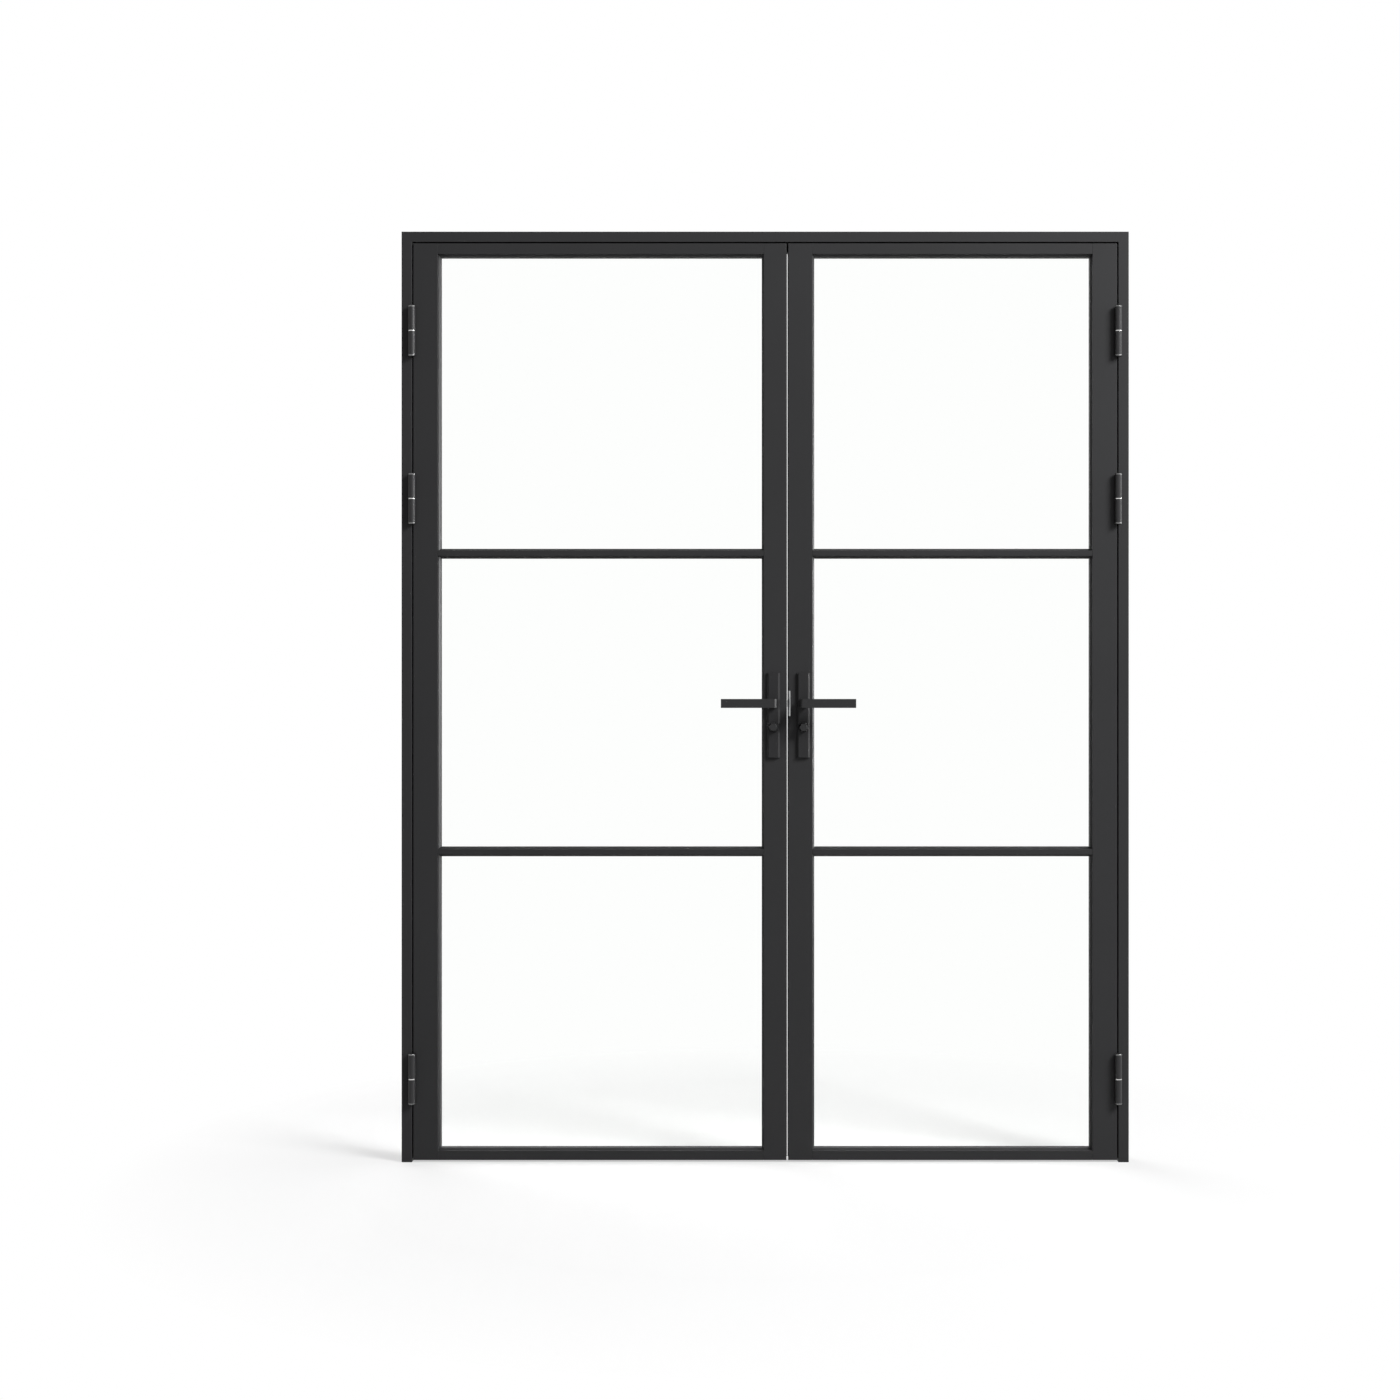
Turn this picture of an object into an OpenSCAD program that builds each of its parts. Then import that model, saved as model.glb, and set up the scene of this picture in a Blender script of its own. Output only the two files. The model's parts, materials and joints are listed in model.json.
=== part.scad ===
// Glazed double door with a steel look, in its frame. Millimetres, +Z up.
// The origin is on the floor under the middle of the frame, in the middle plane of the leaves.
// The front, with the hinges, faces -Y. The left leaf is the active one.

/* [Frame] */
// Outer width of the frame
frame_w = 1680; // [1500:10:1900]
// Outer height of the frame
frame_h = 2150; // [2080:10:2300]
// Face width of the jambs and the head
frame_face = 24; // [22:1:40]
// Wall of the hollow frame profile
frame_wall = 2; // [1.5:0.5:3]
// How far the stop passes behind the edge of a leaf
stop_reach = 12; // [10:1:16]
// Depth of the stop from front to back
stop_depth = 16; // [10:1:30]
// Room for the seal between a leaf and the stop
seal_room = 4; // [3.5:0.5:6]
// Width of the seal's foot
seal_w = 8; // [6:0.5:9]
// Radius of the holes for the wall fixings
fixing_r = 4.25; // [3:0.25:6]
// Height of the lowest wall fixing, and depth of the highest one below the frame's top
fixing_inset = 250; // [150:10:400]
// Wall fixings in each jamb
fixing_count = 4; // [2:1:6]

/* [Leaves] */
// Width of the left leaf
left_leaf_w = 862; // [700:1:900]
// Thickness of the leaves
leaf_t = 40; // [38:1:50]
// Gap between a leaf and the frame
side_gap = 3; // [2.5:0.5:4]
// Gap between the two leaves
meeting_gap = 4; // [4:0.5:6]
// Gap between the leaves and the floor
floor_gap = 5; // [4:1:12]
// Face width of the stiles that carry the hinges
hinge_stile_w = 57; // [45:1:80]
// Face width of the left leaf's meeting stile
left_meeting_stile_w = 52.5; // [52.5:0.5:80]
// Face width of the right leaf's meeting stile
right_meeting_stile_w = 56; // [55.5:0.5:80]
// Face height of the top rails
top_rail_h = 25; // [20:1:60]
// Face height of the bottom rails
bottom_rail_h = 22; // [20:1:120]
// Face height of the glazing bars
bar_h = 13; // [13:1:40]
// Distance from the top of the leaves down to the middle of the upper bars
upper_bar_drop = 716; // [400:1:800]
// Distance from the bottom of the leaves up to the middle of the lower bars
lower_bar_rise = 712; // [400:1:800]
// Wall of the hollow leaf profiles
leaf_wall = 2; // [1.5:0.5:2]
// Thickness of the plates that close the ends of the stiles
end_plate_t = 4; // [3:0.5:8]

/* [Glazing] */
// Thickness of the glass
glass_t = 8; // [6:1:10]
// Thickness of each gasket beside the glass
gasket_t = 2; // [1:0.5:3]
// Width of the bead that shows beyond the profile's face
bead_w = 4.5; // [3:0.5:10]
// Depth of the beads from front to back
bead_d = 6; // [4:0.5:6.5]
// Chamfer on the bead's front edge
bead_chamfer = 1; // [0.5:0.25:1.5]
// Depth of the groove that takes the glass
pocket = 4; // [3:0.5:4]
// Room around the edge of the glass
glass_edge_gap = 2; // [1:0.5:3]

/* [Hinges] */
// Overall height of a hinge barrel
hinge_h = 110; // [80:1:140]
// Radius of the barrel
hinge_r = 8; // [6.5:0.5:8.5]
// Radius of the pin
pin_r = 4.5; // [3:0.5:5]
// Distance from the faces of the leaves to the hinge axis
hinge_offset = 9; // [9:0.5:12]
// Depth of a hinge flag behind the faces of the leaves
flag_depth = 30; // [20:1:36]
// Thickness of the bright washer between the halves
washer_t = 2; // [1:0.5:4]
// Distance from the top of the leaves down to the middle of the upper hinges
upper_hinge_drop = 204; // [120:1:300]
// Distance from the upper hinges down to the middle ones
hinge_pitch = 387; // [200:1:600]
// Distance from the bottom of the leaves up to the middle of the lower hinges
lower_hinge_rise = 189; // [120:1:300]

/* [Levers and plates] */
// Height of the lever axis
lever_z = 1060; // [950:1:1150]
// Distance from the lever axis down to the turn axis
turn_drop = 55; // [50:1:72]
// Distance from the left leaf's meeting edge to the lever axis
left_backset = 30; // [28:0.5:30]
// Distance from the right leaf's meeting edge to the lever axis
right_backset = 35; // [33:0.5:35]
// Width of the plates
plate_w = 31; // [28:0.5:36]
// Thickness of the plates
plate_t = 8; // [5:0.5:12]
// Length of the plate above the lever axis, and below the turn axis
plate_margin = 70; // [40:1:90]
// Width of the bevels along the plate's sides
plate_bevel = 4.5; // [1:0.5:4.5]
// Length of the lever from its axis to its tip
lever_l = 120; // [90:1:140]
// Length of the lever past its axis
lever_tail = 7.5; // [7.5:0.5:12]
// Height of the lever
lever_h = 20.5; // [18:0.5:26]
// Thickness of the lever
lever_t = 10; // [8:0.5:14]
// Width of the bevel on the outer corner of the lever's bend
lever_bevel = 4.5; // [1:0.5:6]
// Distance from the face of the leaf to the lever's outer face
lever_reach = 56; // [48:1:70]
// Radius of the lever's journal in the plate
journal_r = 8; // [7:0.25:9]
// Side of the square spindle
spindle_w = 8; // [7:0.5:9]

/* [Turns] */
// Radius of the six-sided turn over its corners, at the plate
turn_r = 12.5; // [9:0.5:14]
// Radius of the turn over its corners, at its outer face
turn_tip_r = 9; // [6:0.5:9]
// Height of the turn
turn_h = 18; // [10:1:26]
// Radius of the turn's journal in the plate
turn_journal_r = 5; // [4.5:0.25:6]
// Radius of the tail that joins the turn to the release
turn_tail_r = 3.5; // [2.5:0.25:4]
// Radius of the release disc on the back plate
release_r = 9; // [7:0.5:12]
// Height of the release disc
release_h = 4; // [3:0.5:6]

/* [Lock and bolts] */
// Width of the lock's forend
forend_w = 20; // [18:1:24]
// Thickness of the forend
forend_t = 3; // [2.5:0.5:4]
// Height of the forend
forend_h = 230; // [190:5:260]
// Thickness of the lock and bolt cases
case_t = 16; // [15:0.5:18]
// Sheet of the lock and bolt cases
case_wall = 1.5; // [1:0.25:2]
// Case beyond the lever axis
case_back = 14; // [12:0.5:14]
// Case above the lever axis, and below the turn axis
case_margin = 45; // [40:1:60]
// Width of the latch bolt and the deadbolt
bolt_w = 10; // [8:0.5:11]
// Height of the latch bolt
latch_h = 16; // [12:1:22]
// Length of latch that stands in the gap between the leaves
latch_nose = 2.2; // [1:0.1:2.2]
// Height of the deadbolt
deadbolt_h = 20; // [14:1:26]
// Length of the latch bolt and the deadbolt
bolt_l = 20; // [15:0.5:21]
// Thickness of the strike plate
strike_t = 2; // [1.5:0.5:3]
// Height of the strike plate
strike_h = 180; // [150:5:220]
// Height of the strike's curved lip
lip_h = 58; // [30:1:70]
// Outer radius of the strike's curved lip
lip_r = 5; // [3:0.5:7]
// Radius of the shoot bolts
shoot_r = 5; // [4:0.5:6]

/* [Clearances] */
// Running clearance between a journal, pin or bolt and its bore
run_gap = 0.05; // [0.02:0.01:0.1]
// Clearance between a bolt and the slot that guides it
slide_gap = 0.3; // [0.2:0.1:0.6]
// Clearance of a piece let into a profile
seat_gap = 0.1; // [0:0.05:0.3]
// Clearance between a leaf and the seal
seal_gap = 0.3; // [0.2:0.1:0.5]
// Clearance between a hinge flag and the piece that moves past it
flag_gap = 0.6; // [0.4:0.1:1]

/* [Hidden] */
$fn = 48;

paint = "#3a3a3c";
rubber = "#141414";
bright_steel = "#c8c8c8";
clear_glass = "#dfeeee55";

// A cut passes this far beyond the faces that it opens
cut_over = 1;

front_y = -leaf_t / 2;
back_y = leaf_t / 2;
stop_y = back_y + seal_room;
frame_back_y = stop_y + stop_depth;
frame_reach = frame_face + side_gap + stop_reach;

leaf_edge_x = frame_w / 2 - frame_face - side_gap;
leaf_bottom_z = floor_gap;
leaf_top_z = frame_h - frame_face - side_gap;
leaf_h = leaf_top_z - leaf_bottom_z;
right_leaf_w = 2 * leaf_edge_x - left_leaf_w - meeting_gap;
upper_bar_z = leaf_top_z - upper_bar_drop;
lower_bar_z = leaf_bottom_z + lower_bar_rise;
fixing_pitch = (frame_h - 2 * fixing_inset) / (fixing_count - 1);

// Half of the glass with its gasket, and the front of the beads
glass_half = glass_t / 2 + gasket_t;
bead_y = glass_half + bead_d;

hinge_axis_x = leaf_edge_x + side_gap / 2;
hinge_axis_y = front_y - hinge_offset;
flag_t = side_gap - flag_gap;
flag_inset = 2;
pin_end_gap = 2;
half_h = (hinge_h - washer_t) / 2;
upper_hinge_z = leaf_top_z - upper_hinge_drop;
middle_hinge_z = upper_hinge_z - hinge_pitch;
lower_hinge_z = leaf_bottom_z + lower_hinge_rise;

turn_z = lever_z - turn_drop;
plate_h = turn_drop + 2 * plate_margin;
plate_mid_z = lever_z - turn_drop / 2;
neck_w = 2 * lever_tail;
spindle_hole_r = spindle_w * 0.75;
turn_hole_r = turn_tail_r + 1;
case_h = turn_drop + 2 * case_margin;
deadbolt_rest = 0.5;
right_case_front = right_backset - 19;
shoot_rest = 1;
shoot_end_z = 16;
shoot_end_turn = 20;
strike_w = 24;

function leaf_w(side) = side == "left" ? left_leaf_w : right_leaf_w;
function meeting_w(side) = side == "left" ? left_meeting_stile_w : right_meeting_stile_w;
function backset(side) = side == "left" ? left_backset : right_backset;
function swapped(points) = [for (p = points) [p[1], p[0]]];

// Pieces of a leaf are drawn as on the left leaf, and mirrored for the right one
module on_side(side) {
    if (side == "left") children();
    else mirror([1, 0, 0]) children();
}

// X runs from the leaf's meeting edge towards its hinges
module at_meeting_edge(side) {
    on_side(side) translate([leaf_w(side) - leaf_edge_x, 0, 0]) mirror([1, 0, 0]) children();
}

module on_face(face) {
    if (face == "front") children();
    else mirror([0, 1, 0]) children();
}

// An extrusion that runs along X, from a section in Y and Z
module along_x(length) {
    rotate([90, 0, 90]) linear_extrude(length) children();
}

// An extrusion that runs along Y, from a section in X and Z
module along_y(length) {
    translate([0, length, 0]) rotate([90, 0, 0]) linear_extrude(length) children();
}

module rod_y(radius, from_y, to_y) {
    translate([0, to_y, 0]) rotate([90, 0, 0]) cylinder(r = radius, h = to_y - from_y);
}

// Frame: section from the outer face inwards, mitred at the corners

frame_section = [
    [0, front_y], [frame_face, front_y], [frame_face, stop_y], [frame_reach, stop_y],
    [frame_reach, frame_back_y], [0, frame_back_y]
];
frame_hollow = [
    [frame_wall, front_y + frame_wall], [frame_face - frame_wall, front_y + frame_wall],
    [frame_face - frame_wall, stop_y + frame_wall], [frame_reach - frame_wall, stop_y + frame_wall],
    [frame_reach - frame_wall, frame_back_y - frame_wall], [frame_wall, frame_back_y - frame_wall]
];

module jamb_mitre() {
    translate([0, front_y, 0]) along_y(frame_back_y - front_y)
        polygon([[0, 0], [frame_reach, 0], [frame_reach, frame_h - frame_reach], [0, frame_h]]);
}

module head_mitre() {
    half = frame_w / 2;
    translate([0, front_y, 0]) along_y(frame_back_y - front_y)
        polygon([[-half, frame_h], [frame_reach - half, frame_h - frame_reach],
                 [half - frame_reach, frame_h - frame_reach], [half, frame_h]]);
}

module jamb_length(points, from_z) {
    intersection() {
        translate([0, 0, from_z]) linear_extrude(frame_h - from_z) polygon(points);
        jamb_mitre();
    }
}

module head_length(points) {
    intersection() {
        translate([-frame_w / 2, 0, frame_h]) mirror([0, 0, 1]) along_x(frame_w) polygon(swapped(points));
        head_mitre();
    }
}

module jamb(side) {
    color(paint) on_side(side) translate([-frame_w / 2, 0, 0]) difference() {
        jamb_length(frame_section, 0);
        jamb_length(frame_hollow, frame_wall);
        for (i = [0:fixing_count - 1]) translate([-cut_over, 0, fixing_inset + i * fixing_pitch])
            rotate([0, 90, 0]) cylinder(r = fixing_r, h = frame_face + 2 * cut_over);
    }
}

module frame_head() {
    color(paint) difference() {
        head_length(frame_section);
        head_length(frame_hollow);
        at_meeting_edge("right") translate([right_backset, 0, frame_h - frame_face - cut_over])
            cylinder(r = shoot_r + slide_gap, h = frame_wall + 2 * cut_over);
    }
}

// Three strips of rubber with a round bulb, near the free edge of the stop, cut apart at the mitres
seal_cut = 0.2;
seal_foot_t = 1.2;
seal_bulb_r = (seal_room - seal_gap) / 2;
seal_u = frame_reach - seal_w - 1;

module seal_section() {
    translate([seal_u, stop_y - seal_foot_t]) square([seal_w, seal_foot_t]);
    translate([seal_u + seal_w / 2, stop_y - seal_bulb_r]) circle(r = seal_bulb_r);
}

module frame_seal() {
    color(rubber) {
        for (side = ["left", "right"]) on_side(side) translate([-frame_w / 2, 0, 0]) intersection() {
            linear_extrude(frame_h) seal_section();
            translate([0, 0, -seal_cut]) jamb_mitre();
        }
        intersection() {
            translate([-frame_w / 2, 0, frame_h]) mirror([0, 0, 1]) along_x(frame_w)
                mirror([1, -1]) seal_section();
            head_mitre();
        }
    }
}

// Hinges: the lower half stands on the jamb and holds the pin, the upper half is on the leaf

module at_hinge(side, mid_z) {
    on_side(side) translate([-hinge_axis_x, hinge_axis_y, mid_z]) children();
}

module hinge_jamb_half(side, mid_z) {
    color(paint) at_hinge(side, mid_z) {
        translate([0, 0, -hinge_h / 2]) cylinder(r = hinge_r, h = half_h);
        translate([0, 0, -hinge_h / 2]) cylinder(r = pin_r, h = hinge_h - flag_inset - pin_end_gap);
        translate([-side_gap / 2, 0, flag_inset - hinge_h / 2])
            cube([flag_t, hinge_offset + flag_depth, half_h - 2 * flag_inset]);
    }
}

module hinge_leaf_half(side, mid_z) {
    color(paint) at_hinge(side, mid_z) difference() {
        union() {
            translate([0, 0, washer_t / 2]) cylinder(r = hinge_r, h = half_h);
            translate([side_gap / 2 - flag_t, 0, washer_t / 2 + flag_inset])
                cube([flag_t, hinge_offset + flag_depth, half_h - 2 * flag_inset]);
        }
        cylinder(r = pin_r + run_gap, h = hinge_h / 2 - flag_inset);
    }
}

module hinge_washers() {
    color(bright_steel) for (side = ["left", "right"]) for (z = [upper_hinge_z, middle_hinge_z, lower_hinge_z])
        at_hinge(side, z) translate([0, 0, -washer_t / 2]) difference() {
            cylinder(r = hinge_r, h = washer_t - run_gap);
            translate([0, 0, -cut_over]) cylinder(r = pin_r + run_gap, h = washer_t + 2 * cut_over);
        }
}

// Leaves: section from the outer edge towards the glass, with the groove and the rear lip

function leaf_section(face) = [
    [0, front_y], [face, front_y], [face, -bead_y], [face - pocket, -bead_y],
    [face - pocket, glass_half], [face + bead_w, glass_half], [face + bead_w, bead_y],
    [face, bead_y], [face, back_y], [0, back_y]
];

function leaf_hollow(face) = [
    [leaf_wall, front_y + leaf_wall], [face - leaf_wall, front_y + leaf_wall],
    [face - leaf_wall, -bead_y - leaf_wall], [face - pocket - leaf_wall, -bead_y - leaf_wall],
    [face - pocket - leaf_wall, glass_half + leaf_wall], [face - leaf_wall, glass_half + leaf_wall],
    [face - leaf_wall, back_y - leaf_wall], [leaf_wall, back_y - leaf_wall]
];

module stile(face) {
    translate([0, 0, leaf_bottom_z]) difference() {
        linear_extrude(leaf_h) polygon(leaf_section(face));
        translate([0, 0, end_plate_t]) linear_extrude(leaf_h - 2 * end_plate_t) polygon(leaf_hollow(face));
    }
}

module hinge_stile(side) {
    color(paint) on_side(side) translate([-leaf_edge_x, 0, 0]) stile(hinge_stile_w);
}

// Holes through both faces of a stile for the spindle and the turn's tail
module handle_holes(side) {
    translate([backset(side), 0, lever_z]) rod_y(spindle_hole_r, front_y - cut_over, back_y + cut_over);
    translate([backset(side), 0, turn_z]) rod_y(turn_hole_r, front_y - cut_over, back_y + cut_over);
}

module left_meeting_stile() {
    color(paint) at_meeting_edge("left") difference() {
        stile(left_meeting_stile_w);
        handle_holes("left");
        translate([-cut_over, -forend_w / 2 - seat_gap, plate_mid_z - forend_h / 2 - seat_gap])
            cube([leaf_wall + 2 * cut_over, forend_w + 2 * seat_gap, forend_h + 2 * seat_gap]);
    }
}

module right_meeting_stile() {
    color(paint) at_meeting_edge("right") difference() {
        stile(right_meeting_stile_w);
        handle_holes("right");
        translate([-cut_over, 0, plate_mid_z - strike_h / 2 - seat_gap])
            linear_extrude(strike_h + 2 * seat_gap) strike_section(seat_gap, strike_w / 2, cut_over);
        translate([-cut_over, 0, lever_z - lip_h / 2 - seat_gap])
            linear_extrude(lip_h + 2 * seat_gap) strike_section(seat_gap, cut_over - front_y, cut_over);
        translate([right_backset, 0, 0]) for (z = [leaf_bottom_z, leaf_top_z - end_plate_t])
            translate([0, 0, z - cut_over]) cylinder(r = shoot_r + 2 * run_gap, h = end_plate_t + 2 * cut_over);
    }
}

// Width of the strike plate in the edge of the leaf, from its front edge to behind the middle
module strike_section(gap, front, over) {
    translate([0, -front - gap]) square([strike_t + gap + over, front + strike_w / 2 + 2 * gap]);
}

// Rails and bars run between the stiles and are cut back round the stiles' rear lips
module between_stiles(side) {
    start_x = hinge_stile_w - leaf_edge_x;
    length = leaf_w(side) - hinge_stile_w - meeting_w(side);
    color(paint) on_side(side) difference() {
        translate([start_x, 0, 0]) along_x(length) children();
        for (x = [start_x, start_x + length - bead_w])
            translate([x, glass_half, leaf_bottom_z]) cube([bead_w, bead_d, leaf_h]);
    }
}

module rail_section(face) {
    difference() {
        polygon(swapped(leaf_section(face)));
        polygon(swapped(leaf_hollow(face)));
    }
}

module top_rail(side) {
    between_stiles(side) translate([0, leaf_top_z]) mirror([0, 1]) rail_section(top_rail_h);
}

module bottom_rail(side) {
    between_stiles(side) translate([0, leaf_bottom_z]) rail_section(bottom_rail_h);
}

// A glazing bar has two face flanges, a web behind the glass edges and a rear lip on both sides
module glazing_bar(side, mid_z) {
    web_h = bar_h - 2 * pocket;
    lip_height = bar_h + 2 * bead_w;
    between_stiles(side) translate([0, mid_z]) {
        translate([front_y, -bar_h / 2]) square([-bead_y - front_y, bar_h]);
        translate([-bead_y, -web_h / 2]) square([bead_y + glass_half, web_h]);
        translate([glass_half, -lip_height / 2]) square([bead_d, lip_height]);
        translate([bead_y, -bar_h / 2]) square([back_y - bead_y, bar_h]);
    }
}

// Openings between the profiles' faces, from the bottom to the top
pane_bottoms = [leaf_bottom_z + bottom_rail_h, lower_bar_z + bar_h / 2, upper_bar_z + bar_h / 2];
pane_tops = [lower_bar_z - bar_h / 2, upper_bar_z - bar_h / 2, leaf_top_z - top_rail_h];

module opening_slab(side, row, grow, from_y, to_y) {
    width = leaf_w(side) - hinge_stile_w - meeting_w(side) + 2 * grow;
    height = pane_tops[row] - pane_bottoms[row] + 2 * grow;
    translate([hinge_stile_w - leaf_edge_x - grow, from_y, pane_bottoms[row] - grow])
        cube([width, to_y - from_y, height]);
}

module pane(side, row) {
    color(clear_glass) on_side(side)
        opening_slab(side, row, pocket - glass_edge_gap, -glass_t / 2, glass_t / 2);
}

module glazing_gaskets(side) {
    color(rubber) on_side(side) for (row = [0:2]) for (y = [-glass_half, glass_t / 2]) difference() {
        opening_slab(side, row, pocket - glass_edge_gap, y, y + gasket_t);
        opening_slab(side, row, -bead_w, y - cut_over, y + gasket_t + cut_over);
    }
}

// Section of a bead from the bottom of the groove to the sight line
bead_section = [
    [seat_gap - pocket, -bead_y], [bead_w - bead_chamfer, -bead_y], [bead_w, bead_chamfer - bead_y],
    [bead_w, -glass_half], [seat_gap - pocket, -glass_half]
];

module glazing_beads(side) {
    left_x = hinge_stile_w - leaf_edge_x;
    right_x = leaf_w(side) - meeting_w(side) - leaf_edge_x;
    color(paint) on_side(side) for (row = [0:2]) {
        low = pane_bottoms[row];
        high = pane_tops[row];
        translate([left_x, 0, low]) linear_extrude(high - low) polygon(bead_section);
        translate([right_x, 0, low]) mirror([1, 0, 0]) linear_extrude(high - low) polygon(bead_section);
        translate([left_x + bead_w, 0, low])
            along_x(right_x - left_x - 2 * bead_w) polygon(swapped(bead_section));
        translate([left_x + bead_w, 0, high]) mirror([0, 0, 1])
            along_x(right_x - left_x - 2 * bead_w) polygon(swapped(bead_section));
    }
}

// Plates, levers and turns: drawn on the front face, mirrored for the back

// Section of a plate, with its back at Y = 0
plate_section = [
    [-plate_w / 2, 0], [-plate_w / 2, plate_bevel - plate_t], [plate_bevel - plate_w / 2, -plate_t],
    [plate_w / 2 - plate_bevel, -plate_t], [plate_w / 2, plate_bevel - plate_t], [plate_w / 2, 0]
];

module plate(side, face) {
    color(paint) at_meeting_edge(side) on_face(face) translate([backset(side), front_y, 0]) difference() {
        translate([0, 0, plate_mid_z - plate_h / 2]) linear_extrude(plate_h) polygon(plate_section);
        translate([0, 0, lever_z]) rod_y(journal_r + run_gap, -plate_t - cut_over, cut_over);
        translate([0, 0, turn_z]) rod_y(turn_journal_r + run_gap, -plate_t - cut_over, cut_over);
    }
}

// Outline of a lever from above: a neck at the axis, a bevelled bend and a flat bar
lever_foot_y = -plate_t - slide_gap;
lever_outline = [
    [-lever_tail, lever_foot_y], [-lever_tail, lever_bevel - lever_reach],
    [lever_bevel - lever_tail, -lever_reach], [lever_l, -lever_reach],
    [lever_l, lever_t - lever_reach], [neck_w / 2, lever_t - lever_reach], [neck_w / 2, lever_foot_y]
];

module lever(side, face) {
    color(paint) at_meeting_edge(side) on_face(face) translate([backset(side), front_y, lever_z]) difference() {
        union() {
            translate([0, 0, -lever_h / 2]) linear_extrude(lever_h) polygon(lever_outline);
            rod_y(journal_r, -plate_t - cut_over, 0);
        }
        translate([-spindle_w / 2 - seat_gap, -plate_t - journal_r, -spindle_w / 2 - seat_gap])
            cube([spindle_w + 2 * seat_gap, plate_t + journal_r + cut_over, spindle_w + 2 * seat_gap]);
    }
}

module spindle(side) {
    half = leaf_t / 2 + plate_t + journal_r;
    color(bright_steel) at_meeting_edge(side) translate([backset(side), 0, lever_z])
        translate([-spindle_w / 2, -half, -spindle_w / 2]) cube([spindle_w, 2 * half, spindle_w]);
}

// A six-sided tapered turn with its journal and a tail through the leaf
module turn_knob(side) {
    color(paint) at_meeting_edge(side) translate([backset(side), 0, turn_z]) {
        translate([0, front_y - plate_t - slide_gap, 0]) rotate([90, 0, 0])
            cylinder(r1 = turn_r, r2 = turn_tip_r, h = turn_h, $fn = 6);
        rod_y(turn_journal_r, front_y - plate_t - cut_over, front_y);
        rod_y(turn_tail_r, front_y - plate_t, back_y + plate_t / 2);
    }
}

// The release has a slot for a coin
module turn_release(side) {
    slot_w = 2.5;
    slot_depth = 2;
    outer_y = back_y + plate_t + slide_gap + release_h;
    color(paint) at_meeting_edge(side) translate([backset(side), 0, turn_z]) difference() {
        union() {
            rod_y(release_r, outer_y - release_h, outer_y);
            rod_y(turn_journal_r, back_y, outer_y);
        }
        rod_y(turn_tail_r + run_gap, back_y - cut_over, back_y + plate_t / 2 + run_gap);
        translate([-release_r, outer_y - slot_depth, -slot_w / 2]) cube([2 * release_r, release_h, slot_w]);
    }
}

// Lock of the left leaf: a sheet case behind the forend, with a latch bolt and a deadbolt

// A hollow case from one depth to another, open where the handles pass through it
module sheet_case(side, from_x, to_x) {
    mid_z = plate_mid_z;
    difference() {
        translate([from_x, -case_t / 2, mid_z - case_h / 2]) cube([to_x - from_x, case_t, case_h]);
        translate([from_x + case_wall, case_wall - case_t / 2, mid_z - case_h / 2 + case_wall])
            cube([to_x - from_x - 2 * case_wall, case_t - 2 * case_wall, case_h - 2 * case_wall]);
        handle_holes(side);
    }
}

module bolt_slot(mid_z, height) {
    translate([-cut_over, -bolt_w / 2 - slide_gap, mid_z - height / 2 - slide_gap])
        cube([forend_t + case_wall + 2 * cut_over, bolt_w + 2 * slide_gap, height + 2 * slide_gap]);
}

module left_lock_case() {
    color(bright_steel) at_meeting_edge("left") difference() {
        union() {
            sheet_case("left", forend_t, left_backset + case_back);
            translate([0, -forend_w / 2, plate_mid_z - forend_h / 2]) cube([forend_t, forend_w, forend_h]);
        }
        bolt_slot(lever_z, latch_h);
        bolt_slot(turn_z, deadbolt_h);
    }
}

// The latch slopes on the side that meets the strike as the leaf closes
module left_latch_bolt() {
    half = bolt_w / 2;
    color(bright_steel) at_meeting_edge("left") translate([0, 0, lever_z - latch_h / 2]) linear_extrude(latch_h)
        polygon([[bolt_l, -half], [-latch_nose, -half], [-latch_nose, 0], [forend_t, half], [bolt_l, half]]);
}

module left_deadbolt() {
    color(bright_steel) at_meeting_edge("left")
        translate([deadbolt_rest, -bolt_w / 2, turn_z - deadbolt_h / 2]) cube([bolt_l, bolt_w, deadbolt_h]);
}

// Bolts of the right leaf: a case in the stile drives a bolt up and a bolt down

module right_bolt_case() {
    color(bright_steel) at_meeting_edge("right") difference() {
        sheet_case("right", right_case_front, right_backset + case_back);
        translate([right_backset, 0, plate_mid_z - case_h / 2 - cut_over])
            cylinder(r = shoot_r + 2 * run_gap, h = case_wall + 2 * cut_over);
        translate([right_backset, 0, plate_mid_z + case_h / 2 - case_wall - cut_over])
            cylinder(r = shoot_r + 2 * run_gap, h = case_wall + 2 * cut_over);
    }
}

module shoot_bolt(low_z, high_z) {
    color(bright_steel) at_meeting_edge("right") translate([right_backset, 0, low_z])
        cylinder(r = shoot_r, h = high_z - low_z);
}

// The strike has a slot for each bolt and a lip that curves round the front edge of the leaf
module strike_plate() {
    lip_y = front_y - seat_gap;
    color(bright_steel) at_meeting_edge("right") difference() {
        union() {
            translate([0, 0, plate_mid_z - strike_h / 2]) linear_extrude(strike_h)
                strike_section(0, strike_w / 2, 0);
            translate([0, 0, lever_z - lip_h / 2]) linear_extrude(lip_h) {
                strike_section(0, -lip_y, 0);
                translate([lip_r, lip_y]) intersection() {
                    difference() {
                        circle(r = lip_r);
                        circle(r = lip_r - strike_t);
                    }
                    translate([-lip_r, -lip_r]) square(lip_r);
                }
            }
        }
        bolt_slot(lever_z, latch_h);
        bolt_slot(turn_z, deadbolt_h);
    }
}

jamb("left");  // left_jamb
jamb("right");  // right_jamb
frame_head();
frame_seal();
hinge_washers();

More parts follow.
